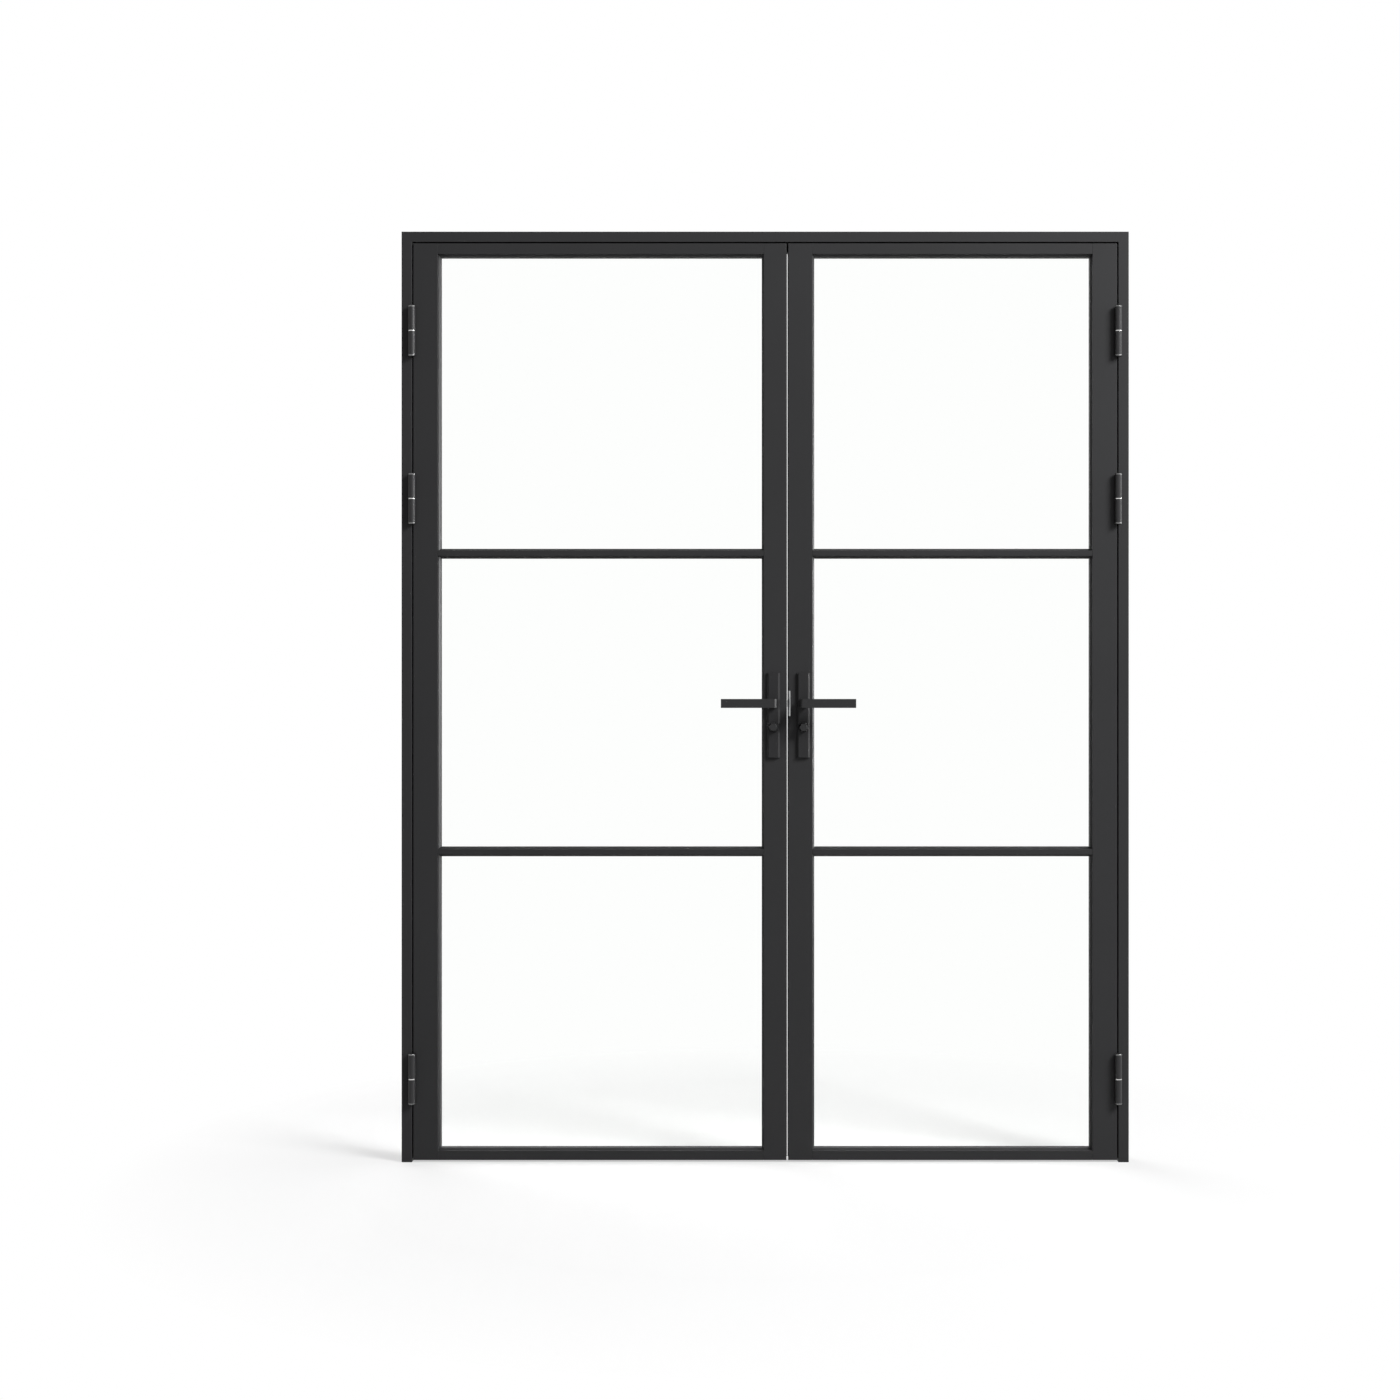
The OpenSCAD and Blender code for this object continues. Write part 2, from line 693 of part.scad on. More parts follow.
hinge_jamb_half("left", upper_hinge_z);  // left_upper_hinge_jamb_half
hinge_jamb_half("left", middle_hinge_z);  // left_middle_hinge_jamb_half
hinge_jamb_half("left", lower_hinge_z);  // left_lower_hinge_jamb_half
hinge_jamb_half("right", upper_hinge_z);  // right_upper_hinge_jamb_half
hinge_jamb_half("right", middle_hinge_z);  // right_middle_hinge_jamb_half
hinge_jamb_half("right", lower_hinge_z);  // right_lower_hinge_jamb_half
hinge_leaf_half("left", upper_hinge_z);  // left_upper_hinge_leaf_half
hinge_leaf_half("left", middle_hinge_z);  // left_middle_hinge_leaf_half
hinge_leaf_half("left", lower_hinge_z);  // left_lower_hinge_leaf_half
hinge_leaf_half("right", upper_hinge_z);  // right_upper_hinge_leaf_half
hinge_leaf_half("right", middle_hinge_z);  // right_middle_hinge_leaf_half
hinge_leaf_half("right", lower_hinge_z);  // right_lower_hinge_leaf_half

hinge_stile("left");  // left_hinge_stile
left_meeting_stile();
top_rail("left");  // left_top_rail
bottom_rail("left");  // left_bottom_rail
glazing_bar("left", upper_bar_z);  // left_upper_bar
glazing_bar("left", lower_bar_z);  // left_lower_bar
pane("left", 2);  // left_top_pane
pane("left", 1);  // left_middle_pane
pane("left", 0);  // left_bottom_pane
glazing_beads("left");  // left_glazing_beads
glazing_gaskets("left");  // left_glazing_gaskets

hinge_stile("right");  // right_hinge_stile
right_meeting_stile();
top_rail("right");  // right_top_rail
bottom_rail("right");  // right_bottom_rail
glazing_bar("right", upper_bar_z);  // right_upper_bar
glazing_bar("right", lower_bar_z);  // right_lower_bar
pane("right", 2);  // right_top_pane
pane("right", 1);  // right_middle_pane
pane("right", 0);  // right_bottom_pane
glazing_beads("right");  // right_glazing_beads
glazing_gaskets("right");  // right_glazing_gaskets

plate("left", "front");  // left_front_plate
plate("left", "back");  // left_back_plate
lever("left", "front");  // left_front_lever
lever("left", "back");  // left_back_lever
spindle("left");  // left_spindle
turn_knob("left");  // left_turn_knob
turn_release("left");  // left_turn_release
left_lock_case();
left_latch_bolt();
left_deadbolt();

plate("right", "front");  // right_front_plate
plate("right", "back");  // right_back_plate
lever("right", "front");  // right_front_lever
lever("right", "back");  // right_back_lever
spindle("right");  // right_spindle
turn_knob("right");  // right_turn_knob
turn_release("right");  // right_turn_release
right_bolt_case();
shoot_bolt(lever_z + shoot_end_z, leaf_top_z - shoot_rest);  // right_top_bolt
shoot_bolt(leaf_bottom_z + shoot_rest, turn_z - shoot_end_turn);  // right_bottom_bolt
strike_plate();
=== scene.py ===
"""Looks of the glazed double door: finishes, eased edges, small hardware, light and camera."""

import json
import logging
import math
from dataclasses import dataclass
from enum import Enum
from typing import Sequence

import bmesh
import bpy
from mathutils import Matrix, Vector

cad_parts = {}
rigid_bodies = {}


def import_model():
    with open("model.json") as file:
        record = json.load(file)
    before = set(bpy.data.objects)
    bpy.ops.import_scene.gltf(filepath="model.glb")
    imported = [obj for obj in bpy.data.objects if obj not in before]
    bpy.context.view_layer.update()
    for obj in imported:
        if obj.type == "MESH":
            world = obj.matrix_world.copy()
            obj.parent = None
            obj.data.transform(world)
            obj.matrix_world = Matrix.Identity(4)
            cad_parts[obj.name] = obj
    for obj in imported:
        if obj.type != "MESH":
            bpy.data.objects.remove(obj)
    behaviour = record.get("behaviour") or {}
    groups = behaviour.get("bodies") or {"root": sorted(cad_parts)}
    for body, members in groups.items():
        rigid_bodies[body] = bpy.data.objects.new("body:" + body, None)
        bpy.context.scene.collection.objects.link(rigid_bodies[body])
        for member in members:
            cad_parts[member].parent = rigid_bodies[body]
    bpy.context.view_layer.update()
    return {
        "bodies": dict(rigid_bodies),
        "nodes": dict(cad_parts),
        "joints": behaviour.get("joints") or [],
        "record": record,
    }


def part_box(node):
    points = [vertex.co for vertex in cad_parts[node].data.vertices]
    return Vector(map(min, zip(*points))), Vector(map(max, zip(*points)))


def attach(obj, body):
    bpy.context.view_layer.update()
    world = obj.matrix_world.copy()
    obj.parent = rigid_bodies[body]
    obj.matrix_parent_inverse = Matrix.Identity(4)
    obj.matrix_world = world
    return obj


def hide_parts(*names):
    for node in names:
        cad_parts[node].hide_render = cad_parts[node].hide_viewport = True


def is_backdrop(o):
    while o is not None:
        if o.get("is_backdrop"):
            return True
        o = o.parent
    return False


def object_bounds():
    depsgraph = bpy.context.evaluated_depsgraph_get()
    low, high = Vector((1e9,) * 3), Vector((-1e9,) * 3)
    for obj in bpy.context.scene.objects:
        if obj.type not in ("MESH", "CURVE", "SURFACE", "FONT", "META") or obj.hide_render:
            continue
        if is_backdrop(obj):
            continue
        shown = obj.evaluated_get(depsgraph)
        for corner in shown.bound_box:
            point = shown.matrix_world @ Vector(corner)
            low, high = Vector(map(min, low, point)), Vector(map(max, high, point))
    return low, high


LOG = logging.getLogger("double_door")
MM = 0.001
# Points nearer to each other than this are one point
WELD = 0.001 * MM

# A Mix node has sockets of the same name for each kind of data, so those for colour go by number
MIX_COLOUR_A, MIX_COLOUR_B, MIX_COLOUR_RESULT = 6, 7, 2
# How many finer layers the noise of a drift of colour and of a grit has, and how much a grit shows
DRIFT_DETAIL = 3.0
GRIT_DETAIL = 2.0
GRIT_STRENGTH = 0.6
# A ray's depth is a whole number, so this tells no bounce from one or more
NO_BOUNCE = 0.5

WASHERS = "hinge_washers"
MITRED = ("left_jamb", "right_jamb", "frame_head")


class Side(Enum):
    """The two leaves, with the sign of X on which each one hangs."""

    LEFT = -1
    RIGHT = 1

    @property
    def word(self) -> str:
        """The side's name as it stands in node names."""
        return self.name.lower()


class HingeRow(Enum):
    """The three hinges of a leaf."""

    UPPER = "upper"
    MIDDLE = "middle"
    LOWER = "lower"


def linear(hex_colour: str) -> tuple[float, float, float, float]:
    """Turn an sRGB hex colour into linear RGBA, by the curve of the sRGB standard.

    Args:
        hex_colour: six hex digits, without a sign in front.

    Returns:
        The linear colour with an alpha of 1.
    """
    channels = [int(hex_colour[i:i + 2], 16) / 255 for i in (0, 2, 4)]
    values = [c / 12.92 if c <= 0.04045 else ((c + 0.055) / 1.055) ** 2.4 for c in channels]
    return (*values, 1.0)


def empty_tree(owner: bpy.types.ID) -> bpy.types.NodeTree:
    """Make a material or a world use nodes, and clear them.

    Args:
        owner: the material or the world.

    Returns:
        Its tree, without nodes.
    """
    owner.use_nodes = True
    owner.node_tree.nodes.clear()
    return owner.node_tree


def add_node(tree: bpy.types.NodeTree, kind: str, settings: dict | None = None,
             links: dict | None = None) -> bpy.types.Node:
    """Add a node, set its values and link its inputs.

    Args:
        tree: the tree that takes the node.
        kind: Blender's name for the kind of node.
        settings: attribute names, or input names or numbers, with their values.
        links: input names or numbers with the output sockets that feed them.

    Returns:
        The new node.
    """
    node = tree.nodes.new(kind)
    for name, value in (settings or {}).items():
        if isinstance(name, str) and hasattr(node, name):
            setattr(node, name, value)
        else:
            node.inputs[name].default_value = value
    for name, socket in (links or {}).items():
        tree.links.new(socket, node.inputs[name])
    return node


@dataclass(frozen=True)
class Coating:
    """An opaque finish with a fine grit, a faint drift of colour and an uneven gloss.

    The grit is drawn coarser than the real one, because the real one is too fine to show.
    """

    name: str
    colour: str
    drift_colour: str
    drift_mm: float
    grit_mm: float
    grit_depth_mm: float
    roughness: float
    roughness_spread: float
    metallic: float = 0.0
    specular: float = 0.5
    stretch: tuple[float, float, float] = (1.0, 1.0, 1.0)

    def material(self) -> bpy.types.Material:
        """Build the coating's material.

        Returns:
            The material, with its pattern on Object coordinates.
        """
        made = bpy.data.materials.new(self.name)
        tree = empty_tree(made)
        place = add_node(tree, "ShaderNodeTexCoord")
        drawn = add_node(tree, "ShaderNodeMapping", {"Scale": self.stretch},
                         {"Vector": place.outputs["Object"]})
        drift = add_node(tree, "ShaderNodeTexNoise",
                         {"Scale": 1 / (self.drift_mm * MM), "Detail": DRIFT_DETAIL},
                         {"Vector": place.outputs["Object"]})
        grit = add_node(tree, "ShaderNodeTexNoise",
                        {"Scale": 1 / (self.grit_mm * MM), "Detail": GRIT_DETAIL},
                        {"Vector": drawn.outputs["Vector"]})
        colour = add_node(tree, "ShaderNodeMix",
                          {"data_type": "RGBA", MIX_COLOUR_A: linear(self.colour),
                           MIX_COLOUR_B: linear(self.drift_colour)},
                          {0: drift.outputs["Fac"]})
        gloss = add_node(tree, "ShaderNodeMapRange",
                         {"To Min": self.roughness - self.roughness_spread,
                          "To Max": self.roughness + self.roughness_spread},
                         {"Value": grit.outputs["Fac"]})
        bump = add_node(tree, "ShaderNodeBump",
                        {"Strength": GRIT_STRENGTH, "Distance": self.grit_depth_mm * MM},
                        {"Height": grit.outputs["Fac"]})
        shader = add_node(tree, "ShaderNodeBsdfPrincipled",
                          {"Metallic": self.metallic, "Specular IOR Level": self.specular},
                          {"Base Color": colour.outputs[MIX_COLOUR_RESULT],
                           "Roughness": gloss.outputs["Result"],
                           "Normal": bump.outputs["Normal"]})
        add_node(tree, "ShaderNodeOutputMaterial", None, {"Surface": shader.outputs[0]})
        return made


@dataclass(frozen=True)
class FloatGlass:
    """Clear polished float glass, which bends light and lets lamps through to what is behind it."""

    name: str
    tint: str
    shadow_tint: str
    ior: float
    roughness: float = 0.0

    def material(self) -> bpy.types.Material:
        """Build the glass.

        Returns:
            The material, see-through for rays on their way to a lamp.
        """
        made = bpy.data.materials.new(self.name)
        tree = empty_tree(made)
        path = add_node(tree, "ShaderNodeLightPath")
        glass = add_node(tree, "ShaderNodeBsdfPrincipled",
                         {"Base Color": linear(self.tint), "Roughness": self.roughness,
                          "IOR": self.ior, "Transmission Weight": 1.0})
        clear = add_node(tree, "ShaderNodeBsdfTransparent", {"Color": linear(self.shadow_tint)})
        mixed = add_node(tree, "ShaderNodeMixShader", None,
                         {0: path.outputs["Is Shadow Ray"], 1: glass.outputs[0],
                          2: clear.outputs[0]})
        add_node(tree, "ShaderNodeOutputMaterial", None, {"Surface": mixed.outputs[0]})
        return made


# Matt polyester powder on steel: a dark, slightly orange-peeled skin with a broad soft gloss
POWDER_COATED_STEEL = Coating(
    name="powder_coated_steel", colour="2b2b2c", drift_colour="2f2f30", drift_mm=240.0,
    grit_mm=1.6, grit_depth_mm=0.02, roughness=0.45, roughness_spread=0.05, specular=0.12)
# Satin powder on slim beads and turned hinges: it flows out smoother than on the wide profiles,
# so the edges catch the light
SATIN_POWDER_COATING = Coating(
    name="satin_powder_coating", colour="2b2b2c", drift_colour="2f2f30", drift_mm=120.0,
    grit_mm=1.2, grit_depth_mm=0.008, roughness=0.30, roughness_spread=0.04, specular=0.22)
# Stove lacquer on cast zinc: smoother and a touch darker than the powder on the profiles
LACQUERED_ZINC = Coating(
    name="lacquered_zinc", colour="272728", drift_colour="2a2a2b", drift_mm=60.0,
    grit_mm=0.9, grit_depth_mm=0.008, roughness=0.30, roughness_spread=0.04, specular=0.2)
# The same lacquer on the plates, which come from a textured die: their bevels shine less than
# the levers
DULL_LACQUERED_ZINC = Coating(
    name="dull_lacquered_zinc", colour="272728", drift_colour="2a2a2b", drift_mm=60.0,
    grit_mm=1.2, grit_depth_mm=0.012, roughness=0.46, roughness_spread=0.05, specular=0.12)
# Turned and polished steel: bright, with rings left by the tool
POLISHED_STEEL = Coating(
    name="polished_steel", colour="d6d6d4", drift_colour="c9c9c8", drift_mm=20.0,
    grit_mm=0.8, grit_depth_mm=0.004, roughness=0.22, roughness_spread=0.05, metallic=1.0,
    stretch=(1.0, 1.0, 6.0))
# Turned steel with a burnished skin: still metal to the eye, but half as bright
BURNISHED_STEEL = Coating(
    name="burnished_steel", colour="7c7c7c", drift_colour="6c6c6c", drift_mm=20.0,
    grit_mm=0.8, grit_depth_mm=0.004, roughness=0.30, roughness_spread=0.05, metallic=1.0,
    stretch=(1.0, 1.0, 6.0))
# Rolled and zinc-plated sheet: bright but duller, with its grain drawn out along its length
ZINC_PLATED_STEEL = Coating(
    name="zinc_plated_steel", colour="bfc0c0", drift_colour="a9abab", drift_mm=30.0,
    grit_mm=1.2, grit_depth_mm=0.006, roughness=0.34, roughness_spread=0.07, metallic=1.0,
    stretch=(6.0, 6.0, 1.0))
# Extruded rubber: black, dull and faintly dusty
EXTRUDED_RUBBER = Coating(
    name="extruded_rubber", colour="141414", drift_colour="1b1b1b", drift_mm=80.0,
    grit_mm=1.0, grit_depth_mm=0.01, roughness=0.72, roughness_spread=0.06)
# Clear float glass: colourless across its thickness, and each face turns a little light back
# from its shadow
CLEAR_FLOAT_GLASS = FloatGlass(
    name="clear_float_glass", tint="fdfefd", shadow_tint="fafafa", ior=1.5)


class Finishes:
    """Every finish of the door, made once and handed out by name."""

    def __init__(self) -> None:
        """Make the materials."""
        self.powder = POWDER_COATED_STEEL.material()
        self.satin = SATIN_POWDER_COATING.material()
        self.lacquer = LACQUERED_ZINC.material()
        self.dull_lacquer = DULL_LACQUERED_ZINC.material()
        self.polished = POLISHED_STEEL.material()
        self.burnished = BURNISHED_STEEL.material()
        self.zinc = ZINC_PLATED_STEEL.material()
        self.rubber = EXTRUDED_RUBBER.material()
        self.glass = CLEAR_FLOAT_GLASS.material()

    def of_slot(self, slot: str) -> bpy.types.Material:
        """Give the finish of a record slot.

        Args:
            slot: the slot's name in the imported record.

        Returns:
            The slot's material.
        """
        return {"anthracite_coating": self.powder, "black_furniture": self.lacquer,
                "bright_steel": self.zinc, "black_rubber": self.rubber,
                "clear_glass": self.glass}[slot]


def finished_object(name: str, bm: bmesh.types.BMesh, material: bpy.types.Material,
                    smooth_deg: float = 35.0) -> bpy.types.Object:
    """Turn a bmesh into a linked object at the origin, smooth except at its sharp edges.

    Args:
        name: the new object's name.
        bm: the shape, which is freed.
        material: its finish.
        smooth_deg: edges sharper than this stay sharp.

    Returns:
        The new object.
    """
    mesh = bpy.data.meshes.new(name)
    bmesh.ops.remove_doubles(bm, verts=bm.verts, dist=WELD)
    for face in bm.faces:
        face.smooth = True
    bm.to_mesh(mesh)
    bm.free()
    mesh.set_sharp_from_angle(angle=math.radians(smooth_deg))
    mesh.materials.append(material)
    made = bpy.data.objects.new(name, mesh)
    bpy.context.scene.collection.objects.link(made)
    return made


def shift_extruded(bm: bmesh.types.BMesh, geom: Sequence, by: tuple[float, float, float]) -> None:
    """Move what an extrusion has just added.

    Args:
        bm: the mesh.
        geom: the faces, edges and points that the extrusion gave back.
        by: how far they move.
    """
    points = [part for part in geom if isinstance(part, bmesh.types.BMVert)]
    bmesh.ops.translate(bm, verts=points, vec=by)


def lathe(profile: Sequence[tuple[float, float]], steps: int = 48) -> bmesh.types.BMesh:
    """Spin an outline of radius and height round Z.

    Args:
        profile: points of radius and height in metres, the first and the last on the axis.
        steps: how many steps make the full turn.

    Returns:
        The closed shape, with its normals outwards.
    """
    bm = bmesh.new()
    points = [bm.verts.new((radius, 0.0, height)) for radius, height in profile]
    edges = [bm.edges.new(pair) for pair in zip(points, points[1:])]
    bmesh.ops.spin(bm, geom=points + edges, cent=(0, 0, 0), axis=(0, 0, 1), angle=2 * math.pi,
                   steps=steps, use_merge=True)
    bmesh.ops.remove_doubles(bm, verts=bm.verts, dist=WELD)
    bmesh.ops.recalc_face_normals(bm, faces=bm.faces)
    return bm


class Door:
    """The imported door: its nodes, the body that carries each one, and their slots."""

    def __init__(self, frame: dict, finishes: Finishes) -> None:
        """Keep the nodes and find each one's body and slot.

        Args:
            finishes: the door's finishes.
        """
        self.nodes = frame["nodes"]
        self.finishes = finishes
        record = frame["record"]
        bodies = record["behaviour"]["bodies"]
        self.body_of = {node: body for body, names in bodies.items() for node in names}
        self.slot_of = {row["node"]: row["material_slot"] for row in record["subparts"]}

    def add(self, piece: bpy.types.Object, body: str, slot: str) -> None:
        """Make a new piece ride on a body.

        Args:
            piece: the new object.
            body: the body that carries it.
            slot: the record slot of its finish; not used.
        """
        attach(piece, body)
        LOG.info("%s rides on %s", piece.name, body)


@dataclass
class SoftenedNodes:
    """Rigid pieces shown with their sharp edges eased, as folded or cast metal has them."""

    door: Door
    profile_ease: float = 0.8 * MM
    hardware_ease: float = 0.5 * MM
    small_ease: float = 0.25 * MM
    segments: int = 2
    roundness: float = 0.5
    flat_deg: float = 0.5
    sharp_deg: float = 40.0
    shortest: float = 2.0 * MM
    room: float = 3.0
    weld_reach: float = 0.02 * MM

    def is_hinge(self, node: str) -> bool:
        """Tell whether a node is one half of a hinge."""
        return node.endswith(("hinge_jamb_half", "hinge_leaf_half"))

    def ease_of(self, node: str) -> float:
        """Choose how far a node's edges are eased.

        Args:
            node: the node's name.

        Returns:
            The width of the eased edge in metres.
        """
        if self.door.slot_of[node] == "anthracite_coating":
            return self.hardware_ease if self.is_hinge(node) else self.profile_ease
        if self.door.slot_of[node] == "black_furniture":
            return self.hardware_ease
        return self.small_ease

    def finish_of(self, node: str) -> bpy.types.Material:
        """Choose a node's finish.

        Args:
            node: the node's name.

        Returns:
            The finish of its slot, or the smoother or duller one that this piece has.
        """
        if node == WASHERS:
            return self.door.finishes.polished
        if self.is_hinge(node):
            return self.door.finishes.satin
        if node.endswith(("front_plate", "back_plate")):
            return self.door.finishes.dull_lacquer
        return self.door.finishes.of_slot(self.door.slot_of[node])

    def on_mitre(self, edge: bmesh.types.BMEdge, low: Vector, high: Vector) -> bool:
        """Tell whether an edge lies on the ground weld of the frame's mitred corner.

        Args:
            edge: the edge.
            low: the lowest corner of the frame's head.
            high: the highest corner of the frame's head.

        Returns:
            True if both its ends lie on the same mitre plane.
        """
        left = [abs((high.z - v.co.z) - (v.co.x - low.x)) for v in edge.verts]
        right = [abs((high.z - v.co.z) - (high.x - v.co.x)) for v in edge.verts]
        return min(max(left), max(right)) < self.weld_reach

    def can_ease(self, edge: bmesh.types.BMEdge, ease: float) -> bool:
        """Tell whether an edge is an outer one, sharp, and with enough room beside it.

        Args:
            edge: the edge.
            ease: the width of the eased edge.

        Returns:
            True if it can be eased without holding back the others.
        """
        if len(edge.link_faces) != 2 or not edge.is_convex:
            return False
        if edge.calc_face_angle() < math.radians(self.sharp_deg):
            return False
        length = edge.calc_length()
        beside = [e.calc_length() for v in edge.verts for e in v.link_edges]
        roomy = all(f.calc_area() > self.room * ease * length for f in edge.link_faces)
        return length > self.shortest and min(beside) > ease and roomy

    def build(self, node: str) -> None:
        """Replace a node by a copy of itself with eased edges.

        Args:
            node: the node's name.
        """
        bm = bmesh.new()
        bm.from_mesh(self.door.nodes[node].data)
        bmesh.ops.remove_doubles(bm, verts=bm.verts, dist=WELD)
        bmesh.ops.dissolve_limit(bm, angle_limit=math.radians(self.flat_deg),
                                 verts=bm.verts, edges=bm.edges)
        low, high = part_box("frame_head")
        ease = self.ease_of(node)
        sharp = [e for e in bm.edges if self.can_ease(e, ease)
                 and not (node in MITRED and self.on_mitre(e, low, high))]
        bmesh.ops.bevel(bm, geom=sharp, offset=ease, offset_type="OFFSET",
                        segments=self.segments, profile=self.roundness, affect="EDGES",
                        clamp_overlap=True, material=-1)
        piece = finished_object(f"{node}_eased", bm, self.finish_of(node))
        piece.modifiers.new("even_shading", "WEIGHTED_NORMAL").keep_sharp = True
        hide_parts(node)
        self.door.add(piece, self.door.body_of[node], self.door.slot_of[node])

    def build_all(self) -> None:
        """Ease the rigid nodes, and dress washers, rubber and glass. The beads come later."""
        for node, shown in self.door.nodes.items():
            if node == WASHERS or self.door.slot_of[node] in ("black_rubber", "clear_glass"):
                shown.data.materials.clear()
                shown.data.materials.append(self.finish_of(node))
            elif not node.endswith("glazing_beads"):
                self.build(node)


@dataclass
class SplayedBeads:
    """Glazing beads with a splayed front, mitred at the corners of every pane."""

    door: Door
    splay: float = 3.8 * MM

    def ring(self, bm: bmesh.types.BMesh, low: Vector, high: Vector, cover: float) -> None:
        """Add the beads round one pane.

        Args:
            bm: the mesh that takes them.
            low: left, front and lower limit of the beads in their groove.
            high: right, back and upper limit of the beads in their groove.
            cover: width of a bead from the bottom of its groove to the sight line.
        """
        corners = ((low.x, low.z), (high.x, low.z), (high.x, high.z), (low.x, high.z))
        pane = bm.faces.new([bm.verts.new((x, low.y, z)) for x, z in corners])
        pane.normal_update()
        bmesh.ops.inset_region(bm, faces=[pane], thickness=cover - self.splay,
                               use_boundary=True, use_even_offset=True)
        outer = [e for e in bm.edges if e.is_boundary]
        bmesh.ops.inset_region(bm, faces=[pane], thickness=self.splay, depth=-self.splay,
                               use_even_offset=True)
        inner = list(pane.edges)
        bmesh.ops.delete(bm, geom=[pane], context="FACES_ONLY")
        for edges, start in ((outer, low.y), (inner, low.y + self.splay)):
            walls = bmesh.ops.extrude_edge_only(bm, edges=edges)["geom"]
            shift_extruded(bm, walls, (0, high.y - start, 0))
        bmesh.ops.bridge_loops(bm, edges=[e for e in bm.edges if e.is_boundary])

    def build(self, side: Side) -> None:
        """Replace the beads of one leaf.

        Args:
            side: the leaf.
        """
        node = f"{side.word}_glazing_beads"
        low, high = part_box(node)
        left_stile = min((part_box(f"{side.word}_{stile}_stile") for stile in ("hinge", "meeting")),
                         key=lambda box: box[0].x)
        cover = left_stile[1].x - low.x
        levels = [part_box(f"{side.word}_{name}")
                  for name in ("bottom_rail", "lower_bar", "upper_bar", "top_rail")]
        bm = bmesh.new()
        for below, above in zip(levels, levels[1:]):
            self.ring(bm, Vector((low.x, low.y, below[1].z - cover)),
                      Vector((high.x, high.y, above[0].z + cover)), cover)
        bmesh.ops.recalc_face_normals(bm, faces=bm.faces)
        piece = finished_object(f"{node}_splayed", bm, self.door.finishes.satin)
        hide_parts(node)
        self.door.add(piece, self.door.body_of[node], self.door.slot_of[node])

    def build_all(self) -> None:
        """Replace the beads of both leaves."""
        for side in Side:
            self.build(side)


@dataclass
class MeetingSeals:
    """Half-round rubber strips up the meeting edges, which narrow the slit between the leaves."""

    door: Door
    proud: float = 1.3 * MM
    width: float = 6.0 * MM
    back_inset: float = 6.0 * MM
    end_inset: float = 2.0 * MM
    steps: int = 24

    def build(self, side: Side) -> None:
        """Run a strip up the meeting edge of one leaf, behind the lock's plates.

        Args:
            side: the leaf.
        """
        low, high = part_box(f"{side.word}_meeting_stile")
        edge = high.x if side is Side.LEFT else low.x
        bm = bmesh.new()
        bmesh.ops.create_circle(bm, cap_ends=True, radius=1.0, segments=self.steps)
        bmesh.ops.scale(bm, vec=(self.proud, self.width / 2, 1.0), verts=bm.verts)
        bmesh.ops.bisect_plane(bm, geom=[*bm.verts, *bm.edges, *bm.faces], plane_co=(0, 0, 0),
                               plane_no=(side.value, 0, 0), clear_outer=True)
        upper = bmesh.ops.extrude_face_region(bm, geom=list(bm.faces))["geom"]
        shift_extruded(bm, upper, (0, 0, high.z - low.z - 2 * self.end_inset))
        bmesh.ops.translate(bm, verts=bm.verts,
                            vec=(edge, high.y - self.back_inset, low.z + self.end_inset))
        bmesh.ops.recalc_face_normals(bm, faces=bm.faces)
        piece = finished_object(f"{side.word}_meeting_seal", bm, self.door.finishes.rubber)
        self.door.add(piece, f"{side.word}_leaf", "black_rubber")

    def build_all(self) -> None:
        """Run the strips of both leaves."""
        for side in Side:
            self.build(side)


@dataclass(frozen=True)
class Screw:
    """A countersunk screw with a cross recess."""

    head_r: float = 3.6 * MM
    head_h: float = 0.5 * MM
    recess_l: float = 3.4 * MM
    recess_w: float = 0.9 * MM
    recess_d: float = 0.8 * MM
    steps: int = 32

    def top(self, bm: bmesh.types.BMesh) -> list[bmesh.types.BMFace]:
        """List the faces that make the top of the head."""
        return [f for f in bm.faces if all(abs(v.co.z - self.head_h) < WELD for v in f.verts)]

    def in_cross(self, point: Vector) -> bool:
        """Tell whether a point of the head's top lies in the cross."""
        thin, long = sorted((abs(point.x), abs(point.y)))
        return thin < self.recess_w / 2 and long < self.recess_l / 2

    def shape(self) -> bmesh.types.BMesh:
        """Model the head, with its top at a height of head_h and a cross pressed into it.

        Returns:
            The head, standing along +Z.
        """
        bm = bmesh.new()
        bmesh.ops.create_circle(bm, cap_ends=True, radius=self.head_r, segments=self.steps)
        upper = bmesh.ops.extrude_face_region(bm, geom=list(bm.faces))["geom"]
        shift_extruded(bm, upper, (0, 0, self.head_h))
        for reach in (self.recess_w / 2, self.recess_l / 2):
            for normal in (Vector((1, 0, 0)), Vector((0, 1, 0))):
                for offset in (reach, -reach):
                    cut = self.top(bm)
                    edges = list(dict.fromkeys(e for f in cut for e in f.edges))
                    points = list(dict.fromkeys(v for f in cut for v in f.verts))
                    bmesh.ops.bisect_plane(bm, geom=cut + edges + points,
                                           plane_co=normal * offset, plane_no=normal)
        cross = [f for f in self.top(bm) if self.in_cross(f.calc_center_median())]
        sunk = bmesh.ops.extrude_face_region(bm, geom=cross)["geom"]
        shift_extruded(bm, sunk, (0, 0, -self.recess_d))
        bmesh.ops.delete(bm, geom=cross, context="FACES_ONLY")
        return bm

    def place(self, door: Door, name: str, at: Vector, along: Vector, body: str,
              material: bpy.types.Material, slot: str) -> None:
        """Set a screw into a face.

        Args:
            door: the door that takes it.
            name: the piece's name.
            at: the middle of the head, on the face.
            along: the way the head looks.
            body: the body that carries it.
            material: its finish.
            slot: the record slot of that finish.
        """
        bm = self.shape()
        turn = along.to_track_quat("Z", "Y").to_matrix().to_4x4()
        bmesh.ops.transform(bm, matrix=Matrix.Translation(at) @ turn, verts=bm.verts)
        door.add(finished_object(name, bm, material), body, slot)


PLATE_SCREW = Screw()
